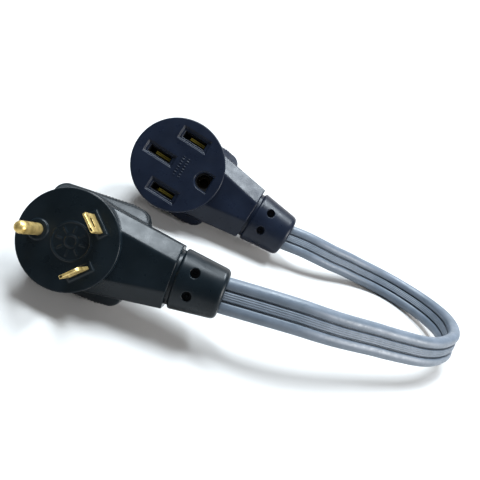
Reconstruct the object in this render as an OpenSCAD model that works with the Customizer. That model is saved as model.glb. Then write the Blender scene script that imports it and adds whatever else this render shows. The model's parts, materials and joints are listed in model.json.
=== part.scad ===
// Power adapter lead: a 30 A plug with two angled blades and a round ground pin, joined by a
// short flat cable to a 50 A connector with four openings.
// Each head is drawn in its own frame: X runs along the cable, Y across it and Z straight out
// of the round face, with zero in the middle of the face. The plug's grip is drawn at its own
// size, and the connector's is the same grip, larger.
// The loop lies on a flat surface at Z = 0, on an ear of each head and on the cable's edge.

/* [Plug head] */
// Diameter of the plug's round face
plug_face_d = 54; // [53:0.5:55]
// Diameter of the round ground pin
pin_d = 6.35; // [6:0.05:6.6]
// Length of the ground pin in front of the face
pin_l = 22; // [20:0.5:24]
// Diameter of the pin's shank, inside the plug
shank_d = 6; // [5:0.1:6]
// Width of a flat blade
blade_w = 10.5; // [9.5:0.5:11.5]
// Thickness of a flat blade
blade_t = 1.7; // [1.5:0.1:2]
// Length of a blade in front of the face
blade_l = 16.5; // [15:0.5:18]

/* [Connector head] */
// Diameter of the connector's round face
conn_face_d = 70; // [69:0.5:71]
// Size of the connector's grip, as a multiple of the plug's
conn_scale = 1.17; // [1.16:0.01:1.18]
// Length of a blade slot
slot_l = 18.5; // [17:0.5:19]
// Width of a blade slot
slot_w = 5.6; // [5:0.1:6]
// Diameter of the ground opening's round side
ground_hole_d = 12.8; // [11:0.1:13]

/* [Cable] */
// Width of the flat cable
cable_w = 20.8; // [20:0.1:21.5]
// Thickness of the flat cable
cable_t = 8; // [7.5:0.1:8.5]
// Diameter of one insulated conductor
wire_d = 4.6; // [4.2:0.1:5]
// Diameter of one conductor's copper
copper_d = 3; // [2.6:0.1:3.2]

/* [Grip] */
// Distance from the plug's face back to the middle of the cable
drop = 19; // [18.5:0.5:19.5]
// Half of the width across the plug's two ears
ear_y = 29.4; // [28.5:0.1:30]
// Half of the width across the connector's two ears
conn_ear_y = 33.7; // [32:0.1:34]
// Diameter of the blind holes in a strain relief
blind_d = 5.3; // [4.5:0.1:6]

/* [Hidden] */
$fn = 48;

black = "#1b2230";
dark = "#0d1016";
brass = "#c9a356";
grey = "#8795a3";
copper = "#b8693f";
eps = 0.01;

// Where each head lies: the middle of its face, and its turn about X, Y and Z
plug_at = [-45.7, -75.7, 38.3];
plug_turn = [59.5, -4.7, 0.1];
conn_at = [-26.8, 49.6, 46.5];
conn_turn = [59.3, 7.1, -3];

// Stations along a grip, for the plug: the body's end, the collar's ends and the jacket's end
neck_x = 55.5;
collar_x = 57.5;
exit_x = 84.5;
jacket_x = 60;
spigot_x = 46;
face_t = 4;
ear_low = -25;
ear_edge = -21;
ear_high = -13;
ear_inset = 9;
plug_ear_x = [-16.5, 33];
conn_ear_x = [-14.6, 36.9];
back_z = -35;

// The free cable, from the plug's collar to the connector's
route = [
    [53.2, -58.3, 37.5], [67.4, -56.4, 38.6], [82.7, -52.9, 38.6], [96.3, -48.6, 37.3],
    [109.4, -43.3, 35.5], [122.9, -37.1, 33.7], [135.2, -30.7, 31.6], [147.7, -24.8, 29.6],
    [161.7, -17.5, 27.2], [174.8, -10.4, 25.1], [187.6, -1.5, 23.3], [198.8, 9.6, 21.8],
    [207.3, 21.8, 20.5], [211.5, 36.4, 18.6], [210.9, 52.2, 16.3], [205.1, 65.9, 13.6],
    [195.5, 77, 11.2], [182.3, 84.8, 9.8], [168.6, 88.4, 9.6], [154.6, 87.8, 10.7],
    [139.6, 84.2, 12.8], [126.7, 79.3, 15.7], [113.7, 73.2, 18.5], [99.8, 68.2, 21.4],
    [85.5, 65.1, 23.2]
];

// Pin, blade and contact places on the two faces
pin_x = -16;
boss_h = 1;
blade_at = [11.6, 12.9];
hot_at = [0.6, 22.2];
neutral_x = -15.5;
ground_x = 22.3;

// Terminals: the crimp barrels behind the faces
barrel_r = 2.7;
core_t = 9;
contact_gap = 0.4;
leaf_t = 0.8;
leaf_l = 12;
leaf_shift = 2.3;
pocket_w = 4;
contact_top = -6;
sleeve_top = -13;
contact_low = -26;
barrel_z = -31;
hot_barrel_y = 15;
sleeve_r = 5.2;
sleeve_bore = 3.3;

// ---------------------------------------------------------------- placing and sweeping
function turned(p, a) =
    let (x = [p.x, p.y * cos(a.x) - p.z * sin(a.x), p.y * sin(a.x) + p.z * cos(a.x)],
         y = [x.x * cos(a.y) + x.z * sin(a.y), x.y, x.z * cos(a.y) - x.x * sin(a.y)])
    [y.x * cos(a.z) - y.y * sin(a.z), y.x * sin(a.z) + y.y * cos(a.z), y.z];
function on_plug(p) = plug_at + turned(p, plug_turn);
function on_conn(p) = conn_at + turned(p, conn_turn);
function unit(v) = v / norm(v);

// A smooth curve through the points, with a few rings in each stretch
function bend(a, b, c, d, t) =
    (2 * b + (c - a) * t + (2 * a - 5 * b + 4 * c - d) * t * t
     + (3 * b - a - 3 * c + d) * t * t * t) / 2;
function smooth(p, per) =
    let (last = len(p) - 1)
    concat(
        [for (i = [0:last - 1], k = [0:per - 1])
            bend(p[max(i - 1, 0)], p[i], p[i + 1], p[min(i + 2, last)], k / per)],
        [p[last]]);
function heading(p, i) = unit(p[min(i + 1, len(p) - 1)] - p[max(i - 1, 0)]);
function across(side, t) = unit(side - (side * t) * t);

// Flat oval of width w and height h, and an ellipse, as outlines
function oval(w, h, steps = 5) =
    [for (end = [1, -1], i = [0:steps]) let (a = 180 * i / steps - 90)
        end * [(w - h) / 2 + cos(a) * h / 2, sin(a) * h / 2]];
function ellipse(w, h, sides = 36) =
    [for (i = [0:sides - 1]) [w * cos(360 * i / sides), h * sin(360 * i / sides)]];
function round_section(r) = [for (i = [0:7]) r * [cos(45 * i), sin(45 * i)]];

// A closed tube: the section follows the path, with its X axis kept near the side vectors
module sweep(path, section, side_a, side_b) {
    n = len(section);
    rings = len(path);
    points = [for (i = [0:rings - 1])
        let (t = heading(path, i),
             w = across(side_a + (side_b - side_a) * i / (rings - 1), t),
             h = cross(t, w))
        for (s = section) path[i] + s.x * w + s.y * h];
    walls = [for (i = [0:rings - 2], j = [0:n - 1]) let (k = (j + 1) % n)
        each [[i * n + j, (i + 1) * n + k, i * n + k],
              [i * n + j, (i + 1) * n + j, (i + 1) * n + k]]];
    first = [for (j = [0:n - 1]) j];
    last = [for (j = [n - 1:-1:0]) (rings - 1) * n + j];
    polyhedron(points, concat(walls, [first, last]), convexity = 6);
}

module plug_place() { translate(plug_at) rotate(plug_turn) children(); }
module conn_place() { translate(conn_at) rotate(conn_turn) children(); }
module along_x(from, to) {
    translate([from, 0, 0]) rotate([90, 0, 90]) linear_extrude(to - from) children();
}
module block(x, y, z, size_x, size_y, size_z) {
    translate([x - size_x / 2, y - size_y / 2, z]) cube([size_x, size_y, size_z]);
}

// ---------------------------------------------------------------- grip, common to both heads
function octagon(half_w, half_h, front_w, side_h) = [
    [front_w, half_h], [half_w, side_h], [half_w, -side_h], [front_w, -half_h],
    [-front_w, -half_h], [-half_w, -side_h], [-half_w, side_h], [-front_w, half_h]];

// Round barrel behind the face, chamfered towards the back
module barrel(face_d, s) {
    rim = face_d / 2 - 1.2;
    rotate_extrude($fn = 64)
        polygon([[0, -face_t * s], [rim, -face_t * s], [rim, -22 * s],
                 [rim - 6.8 * s, back_z * s], [0, back_z * s]]);
}

// Eight-sided body from the barrel to the neck. Its front is twice front_start wide, then front_end.
module spout(s, front_start, front_end) {
    hull() {
        translate([0, 0, -19.5 * s]) along_x(6 * s, 6 * s + 0.5)
            polygon(octagon(25 * s, 15.5 * s, front_start * s, 8 * s));
        translate([0, 0, -drop * s]) along_x(neck_x * s - 0.5, neck_x * s)
            polygon(octagon(18 * s, 13 * s, front_end * s, 7 * s));
    }
}

// Finger lobe on one side, rounded at both ends: widest at half_w, up to the height ear_edge,
// from where its front slopes in to the height ear_high
module ear(s, side, half_w, ends) {
    start = [ends[0], half_w - 6.8 * s, 5.3 * s];
    widest = [19 * s, half_w - 8 * s, 8 * s];
    end = [ends[1] - 8 * s, half_w - 9 * s, 8 * s];
    hull() for (c = [start, widest, end]) translate([c.x, side * c.y, ear_low * s]) {
        cylinder(r = c.z, h = (ear_edge - ear_low) * s, $fn = 64);
        translate([0, -side * ear_inset * s, 0])
            cylinder(r = c.z, h = (ear_high - ear_low) * s, $fn = 64);
    }
}

// Room for the conductors between the terminals and the neck
module wire_room(s, low, high) {
    translate([0, 0, low]) linear_extrude(high - low)
        polygon(s * [[0, -17], [34, -17], [50, -12], [50, 12], [34, 17], [0, 17]]);
}

module grip(face_d, s, front_start, front_end, ear_w, ear_x) {
    difference() {
        union() {
            barrel(face_d, s);
            spout(s, front_start, front_end);
            ear(s, 1, ear_w, ear_x);
            ear(s, -1, ear_w, ear_x);
        }
        translate([0, 0, -face_t * s]) cylinder(d = 2 * face_d, h = 40);
        translate([0, 0, -drop * s]) along_x(spigot_x * s, neck_x * s + 1)
            polygon(oval(25 * s, 13 * s));
        children();
    }
}

// Strain relief: a spigot in the body, a neck groove, and a tapered collar round the cable
module strain_relief(s) {
    difference() {
        translate([0, 0, -drop * s]) {
            along_x(spigot_x * s, neck_x * s) polygon(oval(25 * s, 13 * s));
            along_x(neck_x * s, collar_x * s) polygon(ellipse(15.8 * s, 12.3 * s));
            hull() {
                along_x(collar_x * s, 58 * s) polygon(ellipse(17.5 * s, 14 * s));
                along_x(79 * s, 79.5 * s) polygon(ellipse(14.9 * s, 12.2 * s));
                along_x(83 * s, 83.3 * s) polygon(ellipse(13.6 * s, 10.8 * s));
                along_x(exit_x * s - 0.2, exit_x * s) polygon(ellipse(12.4 * s, 9.4 * s));
            }
        }
        translate([0, 0, -drop * s]) {
            along_x(jacket_x * s, exit_x * s + 1) polygon(oval(cable_w, cable_t));
            along_x(spigot_x * s - 1, jacket_x * s + eps) polygon(oval(19.2, 5.6));
            for (side = [1, -1], face = [1, -1])
                translate([66.4 * s, side * 6.4 * s, face * 8 * s + (face < 0 ? -8 * s : 0)])
                    cylinder(d = blind_d * s, h = 8 * s);
        }
    }
}

// Tube that is crimped round the copper, open towards the cable
module crimp_barrel(x, y, z, length) {
    translate([x, y, z]) rotate([0, 90, 0]) difference() {
        cylinder(r = barrel_r, h = length);
        translate([0, 0, 2]) cylinder(d = copper_d, h = length);
    }
}

// ---------------------------------------------------------------- plug
module plug_face_raised() {
    translate([pin_x, 0, -eps]) cylinder(r = 5.4, h = boss_h + eps);
    for (side = [1, -1]) blade_place(side) block(0, 0, -eps, blade_w + 3, blade_t + 3, 0.8);
    translate([2, 0, -eps]) rotate_extrude() translate([9.6, 0]) square([0.8, 0.5]);
}
module blade_place(side) {
    translate([blade_at.x, side * blade_at.y, 0]) rotate([0, 0, -45 * side]) children();
}
module pin_holes(low, high) {
    translate([pin_x, 0, low]) cylinder(d = shank_d, h = high - low);
    for (side = [1, -1]) blade_place(side) block(0, 0, low, blade_w, blade_t, high - low);
}
module plug_face() {
    color(black) plug_place() difference() {
        union() {
            translate([0, 0, -face_t]) cylinder(d = plug_face_d, h = face_t - 0.6, $fn = 64);
            translate([0, 0, -0.6])
                cylinder(d1 = plug_face_d, d2 = plug_face_d - 1.2, h = 0.6, $fn = 64);
            plug_face_raised();
        }
        pin_holes(-face_t - 1, 3);
    }
}
module plug_body() {
    color(black) plug_place() grip(plug_face_d, 1, 16.2, 8.2, ear_y, plug_ear_x) {
        translate([0, 0, -24]) cylinder(d = 45, h = 22);
        wire_room(1, -24, -14);
    }
}
module plug_core() {
    color(dark) plug_place() difference() {
        translate([0, 0, -face_t - core_t]) cylinder(d = 45, h = core_t);
        pin_holes(-face_t - core_t - 1, 0);
    }
}
module ground_pin() {
    rear = -face_t - core_t;
    color(brass) plug_place() {
        translate([pin_x, 0, rear]) cylinder(d = shank_d, h = boss_h - rear);
        translate([pin_x, 0, boss_h]) cylinder(d = pin_d, h = pin_l - pin_d / 2 - boss_h);
        translate([pin_x, 0, pin_l - pin_d / 2]) sphere(d = pin_d);
        translate([pin_x, 0, rear - 1.5]) cylinder(r = 4.5, h = 1.5);
        translate([pin_x, 0, -drop]) cylinder(r = 2, h = drop + rear);
        crimp_barrel(pin_x, 0, -drop, 12);
    }
}
module blade(side) {
    rear = -face_t - core_t;
    color(brass) plug_place() {
        blade_place(side) difference() {
            translate([0, blade_t / 2, 0]) rotate([90, 0, 0]) linear_extrude(blade_t)
                polygon([[-blade_w / 2, rear], [blade_w / 2, rear],
                         [blade_w / 2, blade_l - 1.5], [blade_w / 2 - 1.5, blade_l],
                         [1.5 - blade_w / 2, blade_l], [-blade_w / 2, blade_l - 1.5]]);
            block(0, 0, 8.5, 4.6, 4, 1.5);
        }
        blade_place(side) block(0, 0, rear - 1.5, blade_w + 2, 4.4, 1.5);
        translate([blade_at.x, side * blade_at.y, -drop]) cylinder(r = 2, h = drop + rear);
        crimp_barrel(blade_at.x - 2, side * blade_at.y, -drop, 13);
    }
}
module plug_strain_relief() { color(black) plug_place() strain_relief(1); }

// ---------------------------------------------------------------- conductors inside the heads
// Each conductor runs from the jacket's end to its crimp barrel. Its copper reaches further in.
wire_y = 6.9;
plug_side_route = [[jacket_x, wire_y], [54, wire_y], [46, 7.1], [40, 9], [35, 11.6],
                   [30, 12.9], [27, 12.9], [24, 12.9]];
plug_side_wire = [for (p = plug_side_route) [p.x, p.y, -drop]];
plug_middle_wire = [for (x = [jacket_x, 45, 30, 15, -1]) [x, 0, -drop]];
cz = -drop * conn_scale;
cj = jacket_x * conn_scale;
conn_hot = [[cj, 6.9, cz], [60, 6.9, cz], [54, 7.1, cz], [47, 9, cz - 3], [39, 12, cz - 7],
            [31, 14.5, barrel_z], [25, hot_barrel_y, barrel_z], [20, hot_barrel_y, barrel_z],
            [16, hot_barrel_y, barrel_z]];
conn_neutral = [[cj, -6.9, cz], [54, -6.9, cz], [46, -7.4, cz - 3], [37, -8, cz - 7.5],
                [28, -8, barrel_z], [16, -6.5, barrel_z], [8, -2, barrel_z],
                [3, 0, barrel_z], [0, 0, barrel_z], [-2.5, 0, barrel_z]];
conn_ground = [[cj, 0, cz], [55, 0, cz], [50, 0, cz - 3], [46, 0, cz - 7.5],
               [43, 0, barrel_z], [41, 0, barrel_z], [39, 0, barrel_z]];

module wire_run(points, r, from_end, to_end) {
    p = smooth(points, 3);
    n = len(p) - 1;
    start = p[0] + from_end * unit(p[0] - p[1]);
    finish = p[n] + to_end * unit(p[n] - p[n - 1]);
    sweep(concat([start], [for (i = [1:n - 1]) p[i]], [finish]), round_section(r),
          [0, 1, 0], [0, 1, 0]);
}
module insulation(points) {
    difference() {
        wire_run(points, wire_d / 2, 0, 0);
        wire_run(points, copper_d / 2, 1, 1);
    }
}
module strands(points, bare) { wire_run(points, copper_d / 2, 0, bare); }
function mirrored(points) = [for (p = points) [p.x, -p.y, p.z]];

module plug_hot_wire() { color("black") plug_place() insulation(plug_side_wire); }
module plug_neutral_wire() { color("white") plug_place() insulation(mirrored(plug_side_wire)); }
module plug_ground_wire() { color("green") plug_place() insulation(plug_middle_wire); }
module plug_hot_copper() { color(copper) plug_place() strands(plug_side_wire, 10); }
module plug_neutral_copper() { color(copper) plug_place() strands(mirrored(plug_side_wire), 10); }
module plug_ground_copper() { color(copper) plug_place() strands(plug_middle_wire, 9); }
module connector_hot_wire() { color("black") conn_place() insulation(conn_hot); }
module connector_neutral_wire() { color("white") conn_place() insulation(conn_neutral); }
module connector_ground_wire() { color("green") conn_place() insulation(conn_ground); }
module connector_hot_copper() { color(copper) conn_place() strands(conn_hot, 8); }
module connector_neutral_copper() { color(copper) conn_place() strands(conn_neutral, 8); }
module connector_ground_copper() { color(copper) conn_place() strands(conn_ground, 8); }

// ---------------------------------------------------------------- cable
module cable() {
    ends_a = [for (x = [jacket_x, 72, exit_x]) on_plug([x, 0, -drop])];
    ends_b = [for (x = [exit_x, 72, jacket_x]) on_conn([x, 0, -drop] * conn_scale)];
    color(grey) sweep(smooth(concat(ends_a, route, ends_b), 2), oval(cable_w, cable_t),
                      turned([0, 1, 0], plug_turn), turned([0, 1, 0], conn_turn));
}

// ---------------------------------------------------------------- connector
conn_t = face_t * conn_scale;

module slot(x, y, wide) {
    block(x, y, -conn_t - 1, slot_l, slot_w, conn_t + 2);
    block(x, y, -1.4, slot_l + 5.6, slot_w + wide, 2);
}
module connector_face() {
    color(black) conn_place() difference() {
        union() {
            translate([0, 0, -conn_t]) cylinder(d = conn_face_d, h = conn_t - 0.8, $fn = 64);
            translate([0, 0, -0.8])
                cylinder(d1 = conn_face_d, d2 = conn_face_d - 1.6, h = 0.8, $fn = 64);
        }
        for (side = [1, -1]) slot(hot_at.x, side * hot_at.y, 5.2);
        slot(neutral_x, 0, 4);
        translate([ground_x, 0, -conn_t - 1]) cylinder(d = ground_hole_d, h = conn_t + 2);
        block(ground_x + ground_hole_d / 4, 0, -conn_t - 1, ground_hole_d / 2, ground_hole_d,
              conn_t + 2);
    }
}
module connector_body() {
    color(black) conn_place()
        grip(conn_face_d, conn_scale, 15.6, 6.4, conn_ear_y, conn_ear_x) {
        translate([0, 0, contact_low - 1]) cylinder(d = 62.2, h = 25);
        translate([0, 0, barrel_z - 4.5]) cylinder(d = 54, h = 10);
        wire_room(conn_scale, barrel_z - 3.5, -17);
    }
}
module connector_core() {
    color(dark) conn_place() difference() {
        translate([0, 0, contact_low]) cylinder(d = 62.2, h = -conn_t - contact_low);
        for (side = [1, -1])
            block(hot_at.x, side * hot_at.y, contact_low - 1, slot_l, pocket_w, 30);
        block(neutral_x, 0, contact_low - 1, slot_l, pocket_w, 30);
        translate([ground_x, 0, contact_low - 1]) cylinder(r = sleeve_r, h = 30);
    }
}
// Two spring leaves that grip a blade, on a web behind the carrier
module leaf_contact(x, y) {
    for (side = [1, -1])
        block(x + leaf_shift, y + side * (contact_gap + leaf_t) / 2, contact_low, leaf_l, leaf_t,
              contact_top - contact_low);
    block(x, y, contact_low - leaf_t, leaf_l + 2 * leaf_shift, contact_gap + 2 * leaf_t, leaf_t);
}
module contact_hot(side, wired) {
    color(brass) conn_place() {
        leaf_contact(hot_at.x, side * hot_at.y);
        if (wired) {
            block(hot_at.x + 5, 17.5, contact_low - leaf_t, 5, 9, leaf_t);
            block(hot_at.x + 5, hot_barrel_y, barrel_z, 4, 3, contact_low - barrel_z - leaf_t / 2);
            crimp_barrel(3.5, hot_barrel_y, barrel_z, 12);
        }
    }
}
module contact_neutral() {
    color(brass) conn_place() {
        leaf_contact(neutral_x, 0);
        block(neutral_x + 2, 0, barrel_z, 4, 3, contact_low - barrel_z - leaf_t / 2);
        crimp_barrel(-15, 0, barrel_z, 12);
    }
}
module contact_ground() {
    color(brass) conn_place() {
        translate([ground_x, 0, contact_low]) difference() {
            cylinder(r = sleeve_r, h = sleeve_top - contact_low);
            translate([0, 0, -1]) cylinder(r = sleeve_bore, h = 30);
        }
        translate([ground_x, 0, contact_low - leaf_t]) cylinder(r = sleeve_r, h = leaf_t);
        block(ground_x + 3, 0, barrel_z, 4, 3, contact_low - barrel_z - leaf_t / 2);
        crimp_barrel(ground_x + 3.5, 0, barrel_z, 12);
    }
}
// Strap behind the carrier that feeds both hot contacts from the one hot conductor
module hot_jumper() {
    reach = hot_at.y - contact_gap / 2 - leaf_t;
    color(brass) conn_place() block(hot_at.x - 4, 0, contact_low - leaf_t, 5, 2 * reach, leaf_t);
}
module connector_strain_relief() { color(black) conn_place() strain_relief(conn_scale); }

// ---------------------------------------------------------------- assembly
plug_face();
plug_body();
plug_core();
ground_pin();
blade(1);  // hot_blade
blade(-1);  // neutral_blade
plug_strain_relief();
plug_hot_wire();
plug_neutral_wire();
plug_ground_wire();
plug_hot_copper();
plug_neutral_copper();
plug_ground_copper();
cable();
connector_face();
connector_body();
connector_core();
contact_hot(1, true);  // contact_hot_x
contact_hot(-1, false);  // contact_hot_y
contact_neutral();
contact_ground();
hot_jumper();
connector_strain_relief();
connector_hot_wire();
connector_neutral_wire();
connector_ground_wire();
connector_hot_copper();
connector_neutral_copper();
connector_ground_copper();
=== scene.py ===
"""Power adapter lead on a pale studio floor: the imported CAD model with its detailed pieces.

Heads are modelled in their own frames, in millimetres: X runs along the cable, Y across it and
Z straight out of the round face. Moulded and stamped pieces are distance formulas, negative
inside, that are meshed on a grid. The cable is swept along its route. Everything is placed in
the row frame, in metres.
"""

import json
import math

import bpy
import numpy as np
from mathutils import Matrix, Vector


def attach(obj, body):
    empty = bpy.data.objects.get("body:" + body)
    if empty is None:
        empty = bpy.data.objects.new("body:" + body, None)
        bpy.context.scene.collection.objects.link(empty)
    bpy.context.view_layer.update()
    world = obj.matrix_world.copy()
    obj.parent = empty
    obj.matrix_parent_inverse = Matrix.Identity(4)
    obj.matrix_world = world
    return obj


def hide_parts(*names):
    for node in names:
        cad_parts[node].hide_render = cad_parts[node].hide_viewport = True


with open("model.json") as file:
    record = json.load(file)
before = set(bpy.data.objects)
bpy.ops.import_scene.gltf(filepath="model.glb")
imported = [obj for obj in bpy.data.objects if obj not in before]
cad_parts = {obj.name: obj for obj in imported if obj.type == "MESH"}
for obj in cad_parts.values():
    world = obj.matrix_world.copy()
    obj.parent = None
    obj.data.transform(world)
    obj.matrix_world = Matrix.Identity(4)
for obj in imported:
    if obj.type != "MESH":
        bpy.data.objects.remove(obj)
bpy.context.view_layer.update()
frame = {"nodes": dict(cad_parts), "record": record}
MM = 0.001

# ------------------------------------------------------------------ sizes, in millimetres
CONN_SCALE = 1.17  # the connector's size for the plug's 1
DROP = 19  # from the face down to the cable's middle

# Plug's face and contacts
PLUG_FACE_R, FACE_T = 27, 4
PIN_R, PIN_X, PIN_L = 3.175, -16, 22
BOSS_R, BOSS_H = 5.4, 1
BLADE_W, BLADE_T, BLADE_L = 10.5, 1.7, 16.5
BLADE_X, BLADE_Y, BLADE_ROOT = 11.6, 12.9, -13
BLADE_TIP_T, BLADE_CORNER = 0.9, 1.5
BLADE_HOLE_W, BLADE_HOLE_L, BLADE_HOLE_DROP = 5, 3, 6
BLADE_GAP_W, BLADE_GAP_L, BLADE_GAP_T = 7.2, 6.6, 0.8
FRAME_MARGIN, FRAME_H = 1.5, 0.8
EMBLEM_X, EMBLEM_H = 2, 0.3
EMBLEM_RINGS, EMBLEM_RAYS, RAY_ENDS = (3, 10), 8, (4.5, 8)

# Connector's face and openings
CONN_FACE_R = 35
SLOT_L, SLOT_W = 18.5, 5.6
RECESS_END, RECESS_DEPTH = 2.8, 1.4
HOT_MARGIN, NEUTRAL_MARGIN = 2.6, 2
HOT_X, HOT_Y, NEUTRAL_X, GROUND_X = 0.6, 22.2, -15.5, 22.3
GROUND_R, GROUND_FLAT_X, GROUND_BEVEL = 6.4, 4.8, 1.1

# Grip and collar, at the plug's size
RIM_GAP = 1.2
BARREL_EDGE, BARREL_BACK, BARREL_TAPER = -22, -35, 6.8
SPOUT_X, NECK_X, COLLAR_X, EXIT_X = 6, 55.5, 57.5, 84.5
SPOUT_W, SPOUT_H = (25, 18), (15.5, 13)  # half sizes where it starts and at the neck
SPOUT_SIDE_H, SPOUT_MIDDLE = (8, 7), (-19.5, -19)
EAR_X, EAR_R, EAR_START_R = 19, 8, 5.3
EAR_LOW, EAR_EDGE, EAR_FRONT, EAR_SLOPE = -25, -21, -13, 0.89
RIDGE_H, RIDGE_PITCH, RIDGE_ENDS = 0.4, 1.9, (-4, 25)
NECK_W, NECK_H = 15.8, 12.3
COLLAR_W, COLLAR_H = 17.5, 14
COLLAR_TAPER_W, COLLAR_TAPER_H = 0.121, 0.084
HOLE_X, HOLE_Y, HOLE_R, HOLE_FLOOR = 66.4, 6.4, 2.65, 8
NUB_R, NUB_TOP = 0.8, 9.2
CHANNEL_X = 60

# Each grip: the spout's front half width at its start and at the neck, how far the ears reach
# out, their start and end along it, and the bore behind the face, its radius and its floor
PLUG_GRIP = (16.2, 8.2, 29.4, -16.5, 33, 0, 0)
CONN_GRIP = (15.6, 6.4, 33.7, -14.6, 36.9, 31.1, -27)

# Cable
CABLE_W, CABLE_T = 20.8, 8
CABLE_INSIDE = 5
CURVE_STEPS = 6
GROOVE_Y, GROOVE_DEPTH, GROOVE_W = 3.1, 2.2, 0.45
RIB_H, RIB_PITCH = 0.14, 1.25

# The free cable's route in the row frame, from the plug's collar to the connector's
ROUTE = [
    [53.2, -58.3, 37.5], [67.4, -56.4, 38.6], [82.7, -52.9, 38.6], [96.3, -48.6, 37.3],
    [109.4, -43.3, 35.5], [122.9, -37.1, 33.7], [135.2, -30.7, 31.6], [147.7, -24.8, 29.6],
    [161.7, -17.5, 27.2], [174.8, -10.4, 25.1], [187.6, -1.5, 23.3], [198.8, 9.6, 21.8],
    [207.3, 21.8, 20.5], [211.5, 36.4, 18.6], [210.9, 52.2, 16.3], [205.1, 65.9, 13.6],
    [195.5, 77, 11.2], [182.3, 84.8, 9.8], [168.6, 88.4, 9.6], [154.6, 87.8, 10.7],
    [139.6, 84.2, 12.8], [126.7, 79.3, 15.7], [113.7, 73.2, 18.5], [99.8, 68.2, 21.4],
    [85.5, 65.1, 23.2],
]


# ------------------------------------------------------------------ head frames
mounts = {m["name"]: m for m in frame["record"]["mounts"]}


class Head:
    """A head's own frame, found from its face and from one contact off the middle of it."""

    def __init__(self, face, contact, contact_x, scale, rim):
        self.scale = scale
        self.rim = rim
        self.origin = np.array(mounts[face]["pos_m"]) / MM
        z = np.array(mounts[face]["axis"])
        arm = np.array(mounts[contact]["pos_m"]) / MM - self.origin
        arm -= (arm @ z) * z
        x = arm / (np.linalg.norm(arm) * math.copysign(1, contact_x))
        self.axes = np.stack([x, np.cross(z, x), z])

    def place(self, points):
        """Points from the head's frame to the row frame, both in millimetres."""
        return self.origin + np.asarray(points, float) @ self.axes


PLUG = Head("plug_face", "ground_pin", PIN_X, 1, PLUG_FACE_R)
CONN = Head("connector_face", "ground_socket", GROUND_X, CONN_SCALE, CONN_FACE_R)


# ------------------------------------------------------------------ distance formulas
def cut(a, b, k):
    """The part inside both a and b, with the edge between them rounded over about k."""
    h = np.maximum(k - np.abs(a - b), 0) / k
    return np.maximum(a, b) + h * h * k / 4


def join(a, b, k):
    """Both a and b, with a fillet of about k where they meet."""
    return -cut(-a, -b, k)


def layer(v, low, high):
    """The slab where v is between low and high."""
    return np.maximum(low - v, v - high)


def between(v, low, high, fade):
    """One where v is between low and high, falling to nothing over the fade."""
    return np.clip(np.minimum(v - low, high - v) / fade + 0.5, 0, 1)


def ellipse(y, z, half_w, half_h):
    """About the distance from an ellipse with its middle at zero."""
    near = np.hypot(y / half_w, z / half_h)
    return near * (near - 1) / np.maximum(np.hypot(y / half_w**2, z / half_h**2), 1e-6)


def lobe(x, y, start, end):
    """A round-ended bar from start to end, each (x, y, radius)."""
    dx, dy = end[0] - start[0], end[1] - start[1]
    t = np.clip(((x - start[0]) * dx + (y - start[1]) * dy) / (dx * dx + dy * dy), 0, 1)
    radius = start[2] + (end[2] - start[2]) * t
    return np.hypot(x - start[0] - t * dx, y - start[1] - t * dy) - radius


def rectangle(x, y, half_x, half_y):
    """A rectangle with its middle at zero."""
    return np.maximum(np.abs(x) - half_x, np.abs(y) - half_y)


# ------------------------------------------------------------------ meshing
def crossings(field, cells):
    """Where the surface crosses each cell's edges, averaged, from the cell's corner."""
    total = np.zeros((len(cells), 3))
    number = np.zeros(len(cells))
    for axis in range(3):
        along = np.eye(3, dtype=int)[axis]
        for i in (0, 1):
            for j in (0, 1):
                corner = np.insert([i, j], axis, 0)
                a = field[tuple((cells + corner).T)]
                b = field[tuple((cells + corner + along).T)]
                crossed = (a < 0) != (b < 0)
                t = np.where(crossed, a / np.where(crossed, a - b, 1), 0)
                total += np.where(crossed[:, None], corner + t[:, None] * along, 0)
                number += crossed
    return total / number[:, None]


def mesh_field(formula, low, high, step):
    """Points and quads of the surface where the formula is zero, by surface nets."""
    axes = [np.arange(a - 2 * step, b + 3 * step, step) for a, b in zip(low, high)]
    grid = np.meshgrid(*axes, indexing="ij", sparse=True)
    field = np.broadcast_to(formula(*grid), [len(a) for a in axes])
    inside = field < 0
    size = [n - 1 for n in field.shape]
    count = np.zeros(size, int)
    for corner in np.ndindex(2, 2, 2):
        count += inside[tuple(slice(c, c + n) for c, n in zip(corner, size))]
    crossed = (count > 0) & (count < 8)
    cells = np.argwhere(crossed)
    index = np.full(size, -1)
    index[crossed] = np.arange(len(cells))
    points = np.array([a[0] for a in axes]) + step * (cells + crossings(field, cells))

    quads = []
    for axis in range(3):
        u, v = (axis + 1) % 3, (axis + 2) % 3
        first = np.moveaxis(inside, axis, 0)[:-1]
        second = np.moveaxis(inside, axis, 0)[1:]
        edges = np.argwhere(np.moveaxis(first != second, 0, axis))
        step_u, step_v = np.eye(3, dtype=int)[u], np.eye(3, dtype=int)[v]
        around = [edges - step_u - step_v, edges - step_v, edges, edges - step_u]
        quad = np.stack([index[tuple(c.T)] for c in around], 1)
        flip = ~inside[tuple(edges.T)]
        quad[flip] = quad[flip][:, ::-1]
        quads.append(quad)
    return pull(formula, points, step), np.concatenate(quads)


def pull(formula, points, step):
    """Moves the points onto the surface."""
    reach = 0.04 * step
    for _ in range(4):
        x, y, z = points.T
        value = formula(x, y, z)
        slope = np.stack([
            formula(x + reach, y, z) - formula(x - reach, y, z),
            formula(x, y + reach, z) - formula(x, y - reach, z),
            formula(x, y, z + reach) - formula(x, y, z - reach)], 1) / (2 * reach)
        steep = np.maximum((slope**2).sum(1), 0.05)
        points = points - np.clip(value / steep, -step / 3, step / 3)[:, None] * slope
    return points


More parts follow.
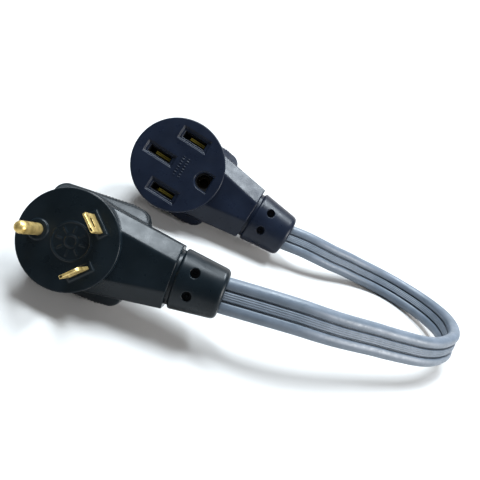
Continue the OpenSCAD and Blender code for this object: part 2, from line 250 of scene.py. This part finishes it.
def add_piece(name, points, faces, material, slot, *nodes):
    """A smooth-shaded piece from points in metres, standing for the CAD nodes."""
    mesh = bpy.data.meshes.new(name)
    faces = np.asarray(faces)
    mesh.vertices.add(len(points))
    mesh.vertices.foreach_set("co", np.asarray(points, np.float32).ravel())
    mesh.loops.add(faces.size)
    mesh.loops.foreach_set("vertex_index", faces.ravel().astype(np.int32))
    mesh.polygons.add(len(faces))
    mesh.polygons.foreach_set("loop_start", np.arange(0, faces.size, 4, dtype=np.int32))
    mesh.polygons.foreach_set("use_smooth", np.ones(len(faces), bool))
    mesh.update(calc_edges=True)
    mesh.validate()
    mesh.materials.append(material)
    piece = bpy.data.objects.new(name, mesh)
    bpy.context.collection.objects.link(piece)
    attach(piece, "root")
    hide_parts(*nodes)
    return piece


def add_field(name, head, formula, low, high, step, material, slot, *nodes):
    points, faces = mesh_field(formula, low, high, step)
    return add_piece(name, head.place(points) * MM, faces, material, slot, *nodes)


# ------------------------------------------------------------------ materials
def new_material(name, color, rough, metallic=0.0, specular=0.5):
    material = bpy.data.materials.new(name)
    material.use_nodes = True
    shader = material.node_tree.nodes["Principled BSDF"]
    shader.inputs["Base Color"].default_value = (*color, 1)
    shader.inputs["Roughness"].default_value = rough
    shader.inputs["Metallic"].default_value = metallic
    shader.inputs["Specular IOR Level"].default_value = specular
    return material, material.node_tree, shader


def noise(tree, scale, detail=3.0, stretch=(1, 1, 1)):
    """Noise over the object, its scale in cells for each metre."""
    place = tree.nodes.new("ShaderNodeTexCoord")
    spread = tree.nodes.new("ShaderNodeMapping")
    spread.inputs["Scale"].default_value = stretch
    grain = tree.nodes.new("ShaderNodeTexNoise")
    grain.inputs["Scale"].default_value = scale
    grain.inputs["Detail"].default_value = detail
    tree.links.new(place.outputs["Object"], spread.inputs["Vector"])
    tree.links.new(spread.outputs["Vector"], grain.inputs["Vector"])
    return grain.outputs["Fac"]


def ramp(tree, factor, low, high, start=0.35, stop=0.65):
    """A colour or grey that goes from low to high as the factor does."""
    node = tree.nodes.new("ShaderNodeValToRGB")
    for element, place, color in zip(node.color_ramp.elements, (start, stop), (low, high)):
        element.position = place
        element.color = (*color, 1) if isinstance(color, tuple) else (color, color, color, 1)
    tree.links.new(factor, node.inputs["Fac"])
    return node.outputs["Color"]


def add_bump(tree, shader, height, distance, strength=1.0, under=None):
    bump = tree.nodes.new("ShaderNodeBump")
    bump.inputs["Distance"].default_value = distance
    bump.inputs["Strength"].default_value = strength
    tree.links.new(height, bump.inputs["Height"])
    if under is not None:
        tree.links.new(under, bump.inputs["Normal"])
    tree.links.new(bump.outputs["Normal"], shader.inputs["Normal"])
    return bump.outputs["Normal"]


def moulded(name, dark, light, rough_low, rough_high):
    """Satin moulded PVC: a fine grain, faint colour drift and uneven gloss."""
    material, tree, shader = new_material(name, dark, rough_low, specular=0.2)
    tree.links.new(ramp(tree, noise(tree, 60), dark, light), shader.inputs["Base Color"])
    tree.links.new(ramp(tree, noise(tree, 150, 3), rough_low, rough_high),
                   shader.inputs["Roughness"])
    grain = add_bump(tree, shader, noise(tree, 2600, 2), 0.00002, 0.3)
    add_bump(tree, shader, noise(tree, 60, 2), 0.0003, 0.05, grain)
    return material


def brass(name, color, tarnish, rough, metallic):
    """Stamped brass: fine grain, dull patches, a warm tarnish and painted shade in its creases and
    hollows.
    """
    material, tree, shader = new_material(name, color, rough, metallic)
    # Ambient occlusion darkens the colour near other surfaces: painted shade in creases, hollows
    # and the blade's slot.
    painted_shade = tree.nodes.new("ShaderNodeAmbientOcclusion")
    painted_shade.inputs["Distance"].default_value = 0.003
    tree.links.new(ramp(tree, noise(tree, 260, 5), tarnish, color, 0.3, 0.55),
                   painted_shade.inputs["Color"])
    tree.links.new(painted_shade.outputs["Color"], shader.inputs["Base Color"])
    tree.links.new(ramp(tree, noise(tree, 700, 4), rough, rough + 0.18),
                   shader.inputs["Roughness"])
    add_bump(tree, shader, noise(tree, 1500, 2), 0.00002, 0.4)
    return material


def jacket():
    """Extruded cable jacket: satin blue-grey with a faint speckle."""
    material, tree, shader = new_material("Jacket", (0.095, 0.117, 0.148), 0.4)
    tree.links.new(ramp(tree, noise(tree, 120, 4), (0.083, 0.105, 0.133), (0.107, 0.13, 0.163)),
                   shader.inputs["Base Color"])
    tree.links.new(ramp(tree, noise(tree, 500, 4), 0.36, 0.52), shader.inputs["Roughness"])
    add_bump(tree, shader, noise(tree, 2200, 2), 0.00004, 0.4)
    return material


PLUG_PVC = moulded("Plug_PVC", (0.003, 0.006, 0.0085), (0.0055, 0.0095, 0.013), 0.27, 0.35)
CONN_PVC = moulded("Connector_PVC", (0.004, 0.0065, 0.014), (0.0065, 0.01, 0.02), 0.27, 0.35)
CARRIER = moulded("Carrier", (0.006, 0.006, 0.007), (0.012, 0.012, 0.013), 0.55, 0.7)
BRASS = brass("Brass", (0.8, 0.6, 0.24), (0.4, 0.27, 0.08), 0.3, 0.8)
# Brass for the slot contacts, darkened to paint the shade of the pockets they sit in.
SHADED_CONTACT_BRASS = brass("Shaded_contact_brass", (0.5, 0.4, 0.06), (0.3, 0.22, 0.03), 0.4, 0.5)
# Near-black brass for the ground socket: painted shade of the deep opening it sits in.
DEEP_SHADE_BRASS = brass("Shaded_socket_brass", (0.05, 0.035, 0.02), (0.03, 0.02, 0.012), 0.5, 0.6)
JACKET = jacket()
COPPER = brass("Copper", (0.72, 0.33, 0.19), (0.5, 0.2, 0.1), 0.3, 1)
INSULATION = {
    "hot": moulded("Black_insulation", (0.01, 0.01, 0.01), (0.02, 0.02, 0.02), 0.3, 0.4),
    "neutral": moulded("White_insulation", (0.75, 0.75, 0.72), (0.85, 0.85, 0.82), 0.3, 0.4),
    "ground": moulded("Green_insulation", (0.02, 0.25, 0.08), (0.03, 0.32, 0.1), 0.3, 0.4),
}


# ------------------------------------------------------------------ grips
def ear(x, y, z, half_w, start_x, end_x):
    """Finger lobe on each side, with a sloping front and fine ridges along its edge."""
    side = np.abs(y)
    start = (start_x, half_w - EAR_START_R - 1.5, EAR_START_R)
    widest = (EAR_X, half_w - EAR_R, EAR_R)
    end = (end_x - EAR_R, half_w - EAR_R - 1, EAR_R)
    outline = np.minimum(lobe(x, side, start, widest), lobe(x, side, widest, end))
    slope = (z - EAR_EDGE + EAR_SLOPE * (side - half_w)) / math.hypot(1, EAR_SLOPE)
    front = np.maximum(slope, z - EAR_FRONT)
    ridges = RIDGE_H * (1 - np.cos(2 * np.pi * x / RIDGE_PITCH)) / 2
    ridges = ridges * between(x, *RIDGE_ENDS, 2) * between(side, half_w - 1.2, half_w + 5, 1.6)
    return cut(cut(outline, EAR_LOW - z, 1.2), front, 1.2) + ridges


def spout(x, y, z, front_start, front_end):
    """Eight-sided body that narrows from the barrel to the neck."""
    t = np.clip((x - SPOUT_X) / (NECK_X - SPOUT_X), -0.2, 1.1)
    half_w, half_h, side_h, middle, front_w = (
        start + (end - start) * t
        for start, end in (SPOUT_W, SPOUT_H, SPOUT_SIDE_H, SPOUT_MIDDLE, (front_start, front_end)))
    across, up = np.abs(y), np.abs(z - middle)
    chamfer = ((across - half_w) * (half_h - side_h) + (up - side_h) * (half_w - front_w)) \
        / np.hypot(half_h - side_h, half_w - front_w)
    section = cut(cut(across - half_w, up - half_h, 0.7), chamfer, 0.7)
    return cut(section, layer(x, 0, NECK_X), 0.6)


def grip(head, front_start, front_end, ear_w, ear_start, ear_end, core_r, core_low):
    """Barrel behind the face, with the spout, the ears and the bore for the carrier."""
    scale = head.scale
    depth = BARREL_EDGE - BARREL_BACK

    def formula(x, y, z):
        x, y, z = x / scale, y / scale, z / scale
        rim = (head.rim - RIM_GAP) / scale
        r = np.hypot(x, y)
        cone = (r - rim) * depth - (z - BARREL_EDGE) * BARREL_TAPER
        cone = cone / math.hypot(depth, BARREL_TAPER)
        barrel = cut(cut(r - rim, cone, 2.5), BARREL_BACK - z, 2)
        body = join(barrel, spout(x, y, z, front_start, front_end), 1.2)
        body = join(body, ear(x, y, z, ear_w / scale, ear_start / scale, ear_end / scale), 1.0)
        core = np.maximum(r - core_r / scale, core_low / scale - z)
        return scale * np.maximum(cut(body, z + FACE_T, 0.3), -core)
    return formula


def collar(head):
    """Strain relief: a neck, then a collar that tapers to a rounded end round the cable."""
    scale = head.scale
    straight, round_r = (CABLE_W - CABLE_T) / 2 / scale, CABLE_T / 2 / scale

    def formula(x, y, z):
        x, y, z = x / scale, y / scale, z / scale + DROP
        half_w = COLLAR_W - COLLAR_TAPER_W * (x - COLLAR_X)
        half_h = COLLAR_H - COLLAR_TAPER_H * (x - COLLAR_X)
        body = cut(ellipse(y, z, half_w, half_h), COLLAR_X - x, 1.8)
        body = cut(body, x - EXIT_X, 3.5)
        neck = np.maximum(ellipse(y, z, NECK_W, NECK_H), layer(x, NECK_X - 2, COLLAR_X + 1))
        body = join(body, neck, 0.4)
        hole_r = np.hypot(x - HOLE_X, np.abs(y) - HOLE_Y)
        hole = np.maximum(hole_r - HOLE_R, HOLE_FLOOR - np.abs(z))
        nub = np.maximum(hole_r - NUB_R, np.abs(z) - NUB_TOP)
        body = cut(body, -np.maximum(hole, -nub), 0.4)
        channel = np.hypot(np.maximum(np.abs(y) - straight, 0), z) - round_r
        return scale * cut(body, -np.maximum(channel, CHANNEL_X - x), 0.5)
    return formula


# ------------------------------------------------------------------ plug's face and contacts
def turned(x, y, side):
    """Places in the frame of the blade on that side: along its width and its thickness."""
    x, y = x - BLADE_X, y - side * BLADE_Y
    return (x - side * y) / math.sqrt(2), (x * side + y) / math.sqrt(2)


def plug_face(x, y, z):
    """Round face with the emblem, a boss round the pin and a low frame round each blade."""
    edge = np.hypot(x, y) - PLUG_FACE_R
    face = cut(cut(edge, z - emblem(x - EMBLEM_X, y), 0.8), -FACE_T - z, 0.5)
    boss = cut(np.hypot(x - PIN_X, y) - BOSS_R, z - BOSS_H, 0.6)
    face = join(face, boss, 0.7)
    for side in (1, -1):
        along, thick = turned(x, y, side)
        outline = rectangle(along, thick, BLADE_W / 2 + FRAME_MARGIN, BLADE_T / 2 + FRAME_MARGIN)
        face = join(face, cut(outline, z - FRAME_H, 0.9), 1.2)
    return face


def emblem(x, y):
    """Height of a raised ring round a plain sunburst."""
    r = np.hypot(x, y)
    turn = math.pi / EMBLEM_RAYS
    spoke = np.abs(np.mod(np.arctan2(y, x) + turn, 2 * turn) - turn) * r
    height = between(spoke, -1, 0.5, 0.5) * between(r, *RAY_ENDS, 0.6)
    for ring_r in EMBLEM_RINGS:
        height = np.maximum(height, between(np.abs(r - ring_r), -1, 0.4, 0.45))
    return EMBLEM_H * height


def ground_pin(x, y, z):
    """Round pin with a domed tip, on a thinner shank inside the plug."""
    r = np.hypot(x - PIN_X, y)
    tip = PIN_L - PIN_R
    pin = np.where(z < tip, r - PIN_R, np.hypot(r, z - tip) - PIN_R)
    pin = np.maximum(pin, 0.5 - z)
    shank = np.maximum(r - 3, layer(z, -DROP, 1))
    return np.minimum(pin, shank)


def blade(side):
    """Folded flat blade with a slot across it, a gap between its two layers and a notch."""
    lead_in_slope = 0.55

    def formula(x, y, z):
        along, thick = turned(x, y, side)
        across, deep, up = np.abs(along), np.abs(thick), z - BLADE_L
        flat = cut(deep - BLADE_T / 2, across - BLADE_W / 2, 0.3)
        corner = (across - BLADE_W / 2 + up + BLADE_CORNER) / math.sqrt(2)
        lead_in = (deep - BLADE_TIP_T / 2 + lead_in_slope * up) / math.hypot(1, lead_in_slope)
        tip = cut(cut(up, corner, 0.3), lead_in, 0.3)
        from_hole = up + BLADE_HOLE_DROP
        hole = rectangle(along, from_hole, BLADE_HOLE_W / 2, BLADE_HOLE_L / 2)
        gap = np.maximum(rectangle(along, from_hole, BLADE_GAP_W / 2, BLADE_GAP_L / 2),
                         deep - BLADE_GAP_T / 2)
        notch = np.maximum(rectangle(along - side * 3.7, thick, 0.8, 0.45), -1.4 - up)
        body = cut(cut(flat, tip, 0.3), -np.minimum(np.minimum(hole, gap), notch), 0.2)
        return np.maximum(body, BLADE_ROOT - z)
    return formula


# ------------------------------------------------------------------ connector's face and contacts
def sloped(outline, z):
    """An opening whose walls close in below the face."""
    wall_slope = 0.8
    return (outline - wall_slope * z) / math.hypot(1, wall_slope)


def framed_slot(x, y, z, margin):
    """Slot in a shallow recess with sloping walls."""
    outline = rectangle(x, y, SLOT_L / 2 + RECESS_END, SLOT_W / 2 + margin)
    recess = cut(sloped(outline, z), -RECESS_DEPTH - z, 0.3)
    return np.minimum(rectangle(x, y, SLOT_L / 2, SLOT_W / 2), recess)


def ground_opening(x, y, z):
    """Opening round on one side and straight on the other, with a narrow bevel."""
    square = np.maximum(np.abs(y) - GROUND_R, x - GROUND_FLAT_X)
    edge = np.where(x < 0, np.hypot(x, y) - GROUND_R, square)
    return np.minimum(edge, sloped(edge - GROUND_BEVEL, z))


def mark(x, y, z):
    """Two rows of low plain bars near the middle."""
    row = np.abs(np.abs(x - 3) - 2) - 1.1
    bar = np.abs(np.mod(y, 2.2) - 1.1) - 0.45
    bars = np.maximum(np.maximum(row, bar), np.abs(y) - 7.7)
    return np.maximum(bars, layer(z, -1, 0.25))


def connector_face(x, y, z):
    """Round face with the bars, three framed slots and the ground opening."""
    edge = np.hypot(x, y) - CONN_FACE_R
    face = cut(cut(edge, z, 1.2), -FACE_T * CONN_SCALE - z, 0.5)
    face = join(face, mark(x, y, z), 0.2)
    for side in (1, -1):
        face = cut(face, -framed_slot(x - HOT_X, y - side * HOT_Y, z, HOT_MARGIN), 0.25)
    face = cut(face, -framed_slot(x - NEUTRAL_X, y, z, NEUTRAL_MARGIN), 0.25)
    return cut(face, -ground_opening(x - GROUND_X, y, z), 0.25)


# ------------------------------------------------------------------ cable
def bend(a, b, c, d, t):
    """A point between b and c on the smooth curve through a, b, c and d."""
    return (2 * b + (c - a) * t + (2 * a - 5 * b + 4 * c - d) * t**2
            + (3 * b - a - 3 * c + d) * t**3) / 2


def smooth(points, steps):
    """A smooth curve through the points."""
    last = len(points) - 1
    curve = [bend(points[max(i - 1, 0)], points[i], points[i + 1], points[min(i + 2, last)],
                  k / steps) for i in range(last) for k in range(steps)]
    return np.array(curve + [points[-1]])


def cable_outline():
    """The cable's section: three lobes with narrow grooves between, the middle one ribbed."""
    y = (CABLE_W / 2) * np.cos(np.linspace(0, math.pi, 181))
    straight, round_r = (CABLE_W - CABLE_T) / 2, CABLE_T / 2
    out = np.abs(y)
    half = np.sqrt(np.maximum(round_r**2 - np.maximum(out - straight, 0) ** 2, 0))
    outer = 0.9 * np.clip((straight - out) / (straight - GROOVE_Y), 0, 1) ** 2
    ribs = 0.4 + 0.3 * (out / GROOVE_Y) ** 2 + RIB_H * np.cos(2 * np.pi * y / RIB_PITCH)
    groove = GROOVE_DEPTH * np.exp(-(((out - GROOVE_Y) / GROOVE_W) ** 2))
    top = np.stack([y, np.maximum(half - np.where(out > GROOVE_Y, outer, ribs) - groove, 0)], 1)
    under = top[::-1][1:-1] * [1, -1]
    return np.concatenate([top, under])


def add_cable():
    """The cable, swept along its route with its flat sides turned with the heads."""
    reach = [EXIT_X - CABLE_INSIDE, EXIT_X - CABLE_INSIDE / 2, EXIT_X]
    start = [PLUG.place([x, 0, -DROP]) for x in reach]
    end = [CONN.place(np.array([x, 0, -DROP]) * CONN_SCALE) for x in reversed(reach)]
    path = smooth(np.array(start + ROUTE + end), CURVE_STEPS)
    rings = len(path)
    heading = np.gradient(path, axis=0)
    heading /= np.linalg.norm(heading, axis=1)[:, None]
    share = np.linspace(0, 1, rings)[:, None]
    side = PLUG.axes[1] * (1 - share) + CONN.axes[1] * share
    side -= (side * heading).sum(1)[:, None] * heading
    side /= np.linalg.norm(side, axis=1)[:, None]
    up = np.cross(heading, side)
    outline = cable_outline()
    count = len(outline)
    points = (path[:, None] + outline[None, :, :1] * side[:, None]
              + outline[None, :, 1:] * up[:, None]).reshape(-1, 3)
    first = np.arange(count)
    after = (first + 1) % count
    rows = np.arange(rings - 1)[:, None] * count
    faces = np.stack([rows + first, rows + after, rows + after + count, rows + first + count],
                     2).reshape(-1, 4)
    piece = add_piece("Cable", points * MM, faces, JACKET, "grey_jacket", "cable")


# ------------------------------------------------------------------ camera, light and floor
def add_camera():
    data = bpy.data.cameras.new("Camera")
    data.sensor_width = 36
    data.lens = 35.35
    data.clip_start = 0.01
    camera = bpy.data.objects.new("Camera", data)
    bpy.context.collection.objects.link(camera)
    camera.location = (0.02597, -0.26978, 0.18819)
    camera.rotation_euler = [math.radians(a) for a in (58.356, -22.410, 11.001)]
    bpy.context.scene.camera = camera


def add_area(name, location, target, size, power, color=(1, 1, 1)):
    data = bpy.data.lights.new(name, "AREA")
    data.shape = "RECTANGLE"
    data.size, data.size_y = size
    data.energy = power
    data.color = color
    lamp = bpy.data.objects.new(name, data)
    bpy.context.collection.objects.link(lamp)
    lamp.location = location
    lamp.visible_camera = False
    aim = Vector(target) - Vector(location)
    lamp.rotation_euler = aim.to_track_quat("-Z", "Y").to_euler()


def add_floor():
    """A pale floor that curves up into a backdrop, far behind the object."""
    start, radius, top, reach = 1.1, 0.6, 2.5, 6
    curve = [(start + radius * math.sin(a), radius * (1 - math.cos(a)))
             for a in np.linspace(0, math.pi / 2, 17)]
    profile = [(-reach, 0), *curve, (start + radius, top)]
    points = [(x, y, z) for y, z in profile for x in (-reach, reach)]
    faces = [(2 * i, 2 * i + 1, 2 * i + 3, 2 * i + 2) for i in range(len(profile) - 1)]
    mesh = bpy.data.meshes.new("Floor")
    mesh.from_pydata(points, [], faces)
    mesh.shade_smooth()
    material = new_material("Floor", (0.53, 0.52, 0.51), 0.9, specular=0.1)[0]
    mesh.materials.append(material)
    floor = bpy.data.objects.new("Floor", mesh)
    bpy.context.collection.objects.link(floor)


def add_world():
    world = bpy.data.worlds.new("Studio")
    bpy.context.scene.world = world
    world.use_nodes = True
    sky = world.node_tree.nodes["Background"]
    sky.inputs["Color"].default_value = (0.9, 0.95, 1, 1)
    sky.inputs["Strength"].default_value = 0.17


# ------------------------------------------------------------------ building
def add_grip(name, head, sizes, pvc, node):
    scale, wide = head.scale, sizes[2]
    low = (-head.rim, -wide, BARREL_BACK * scale)
    high = (NECK_X * scale, wide, -FACE_T * scale)
    add_field(name, head, grip(head, *sizes), low, high, 0.5 * scale, pvc, "black_pvc", node)


def add_collar(name, head, pvc, node):
    scale = head.scale
    low = np.array([NECK_X - 2, -COLLAR_W, -DROP - COLLAR_H]) * scale
    high = np.array([EXIT_X, COLLAR_W, -DROP + COLLAR_H]) * scale
    add_field(name, head, collar(head), low, high, 0.3 * scale, pvc, "black_pvc", node)


def add_disc(name, head, formula, thick, raised, step, pvc, node):
    low, high = (-head.rim, -head.rim, -thick), (head.rim, head.rim, raised)
    add_field(name, head, formula, low, high, step, pvc, "black_pvc", node)


def add_blade(name, side, node):
    reach, y = 5, side * BLADE_Y
    low = (BLADE_X - reach, y - reach, BLADE_ROOT)
    high = (BLADE_X + reach, y + reach, BLADE_L)
    add_field(name, PLUG, blade(side), low, high, 0.16, BRASS, "brass", node)


def add_pin():
    reach = 3.2
    low, high = (PIN_X - reach, -reach, -DROP), (PIN_X + reach, reach, PIN_L)
    add_field("Ground_pin", PLUG, ground_pin, low, high, 0.2, BRASS, "brass", "ground_pin")


def build_heads():
    add_grip("Plug_grip", PLUG, PLUG_GRIP, PLUG_PVC, "plug_body")
    add_grip("Connector_grip", CONN, CONN_GRIP, CONN_PVC, "connector_body")
    add_collar("Plug_collar", PLUG, PLUG_PVC, "plug_strain_relief")
    add_collar("Connector_collar", CONN, CONN_PVC, "connector_strain_relief")
    add_disc("Plug_disc", PLUG, plug_face, FACE_T, BOSS_H, 0.28, PLUG_PVC, "plug_face")
    add_disc("Connector_disc", CONN, connector_face, 4.7, 0.3, 0.33, CONN_PVC, "connector_face")
    add_pin()
    add_blade("Hot_blade", 1, "hot_blade")
    add_blade("Neutral_blade", -1, "neutral_blade")


def finish_cad_nodes():
    """Gives the CAD nodes that stay in view their materials."""
    for name, node in frame["nodes"].items():
        if node.hide_render:
            continue
        if "wire" in name:
            material = INSULATION[name.split("_")[-2]]
        elif "copper" in name:
            material = COPPER
        elif "core" in name:
            material = CARRIER
        elif name == "contact_ground":
            material = DEEP_SHADE_BRASS
        else:
            material = SHADED_CONTACT_BRASS
        node.data.materials.clear()
        node.data.materials.append(material)


add_camera()
add_area("Left_top", (-0.165, 0.13, 0.95), (0.035, -0.05, 0), (0.2, 0.52), 14, (0.84, 0.93, 1))
add_area("Right_top", (0.3, 0.29, 0.95), (0.36, 0.14, 0), (0.17, 0.48), 14, (0.84, 0.93, 1))
add_area("Right", (0.85, -0.2, 0.25), (0, 0, 0.04), (0.35, 0.35), 7)
add_area("Backdrop", (0.1, 0.5, 0.9), (0.3, 1.7, 0.6), (2.4, 0.4), 60)
add_floor()
add_world()
build_heads()
add_cable()
finish_cad_nodes()
bpy.context.scene.view_settings.view_transform = "Standard"
